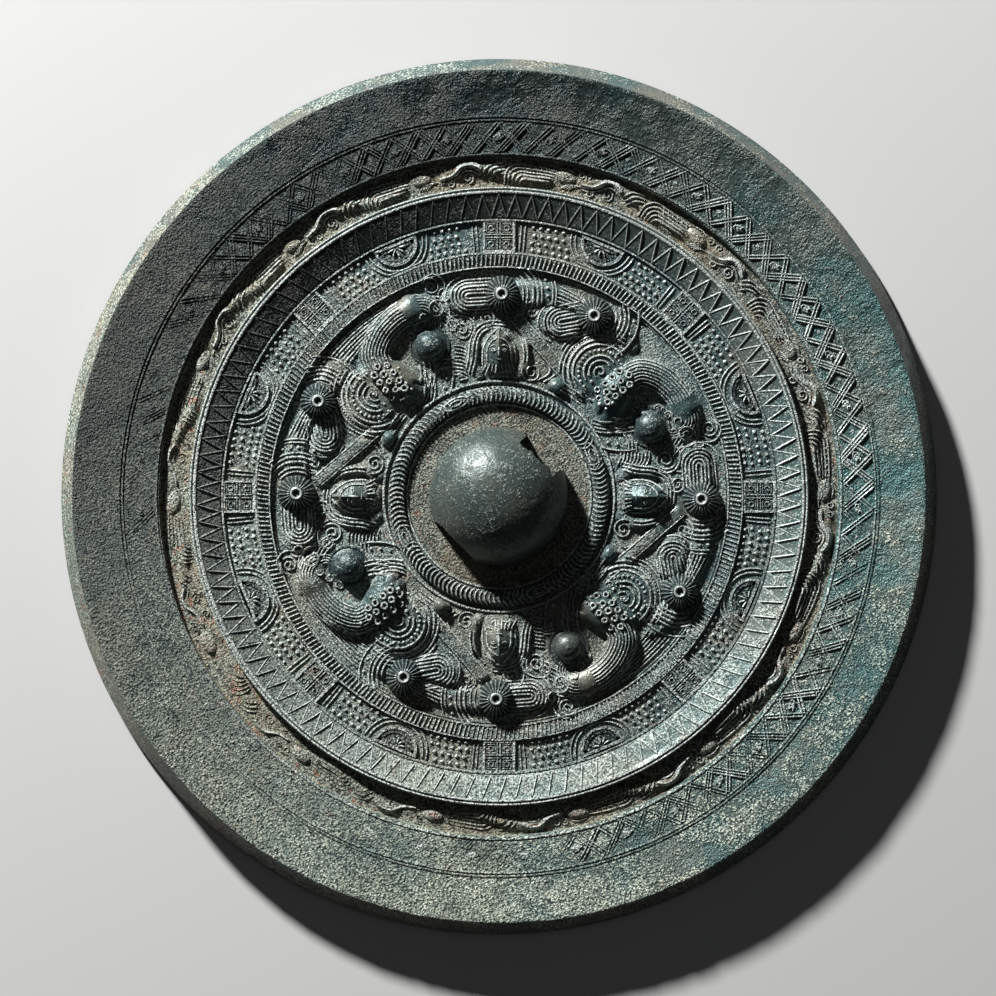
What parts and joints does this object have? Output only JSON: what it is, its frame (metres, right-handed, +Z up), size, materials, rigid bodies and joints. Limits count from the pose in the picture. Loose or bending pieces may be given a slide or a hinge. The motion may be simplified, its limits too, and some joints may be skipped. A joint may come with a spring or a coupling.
{
  "type": "bronze mirror",
  "caption": "Round cast bronze mirror with a bored dome knob, ringed zones of figures, curling beasts and bands in relief, a plain flaring rim and a slightly convex polished face.",
  "frame": {"origin": "middle of the flat spot of the polished face, at the floor", "axes": "+Z up, out of the decorated back and through the knob's top; +X along the knob's cord hole; +Y level, across the cord hole"},
  "size_m": [0.15, 0.15, 0.0136],
  "materials": {
    "bronze": null
  },
  "bodies": {
    "root": {"mirror": "bronze"}
  },
  "joints": []
}
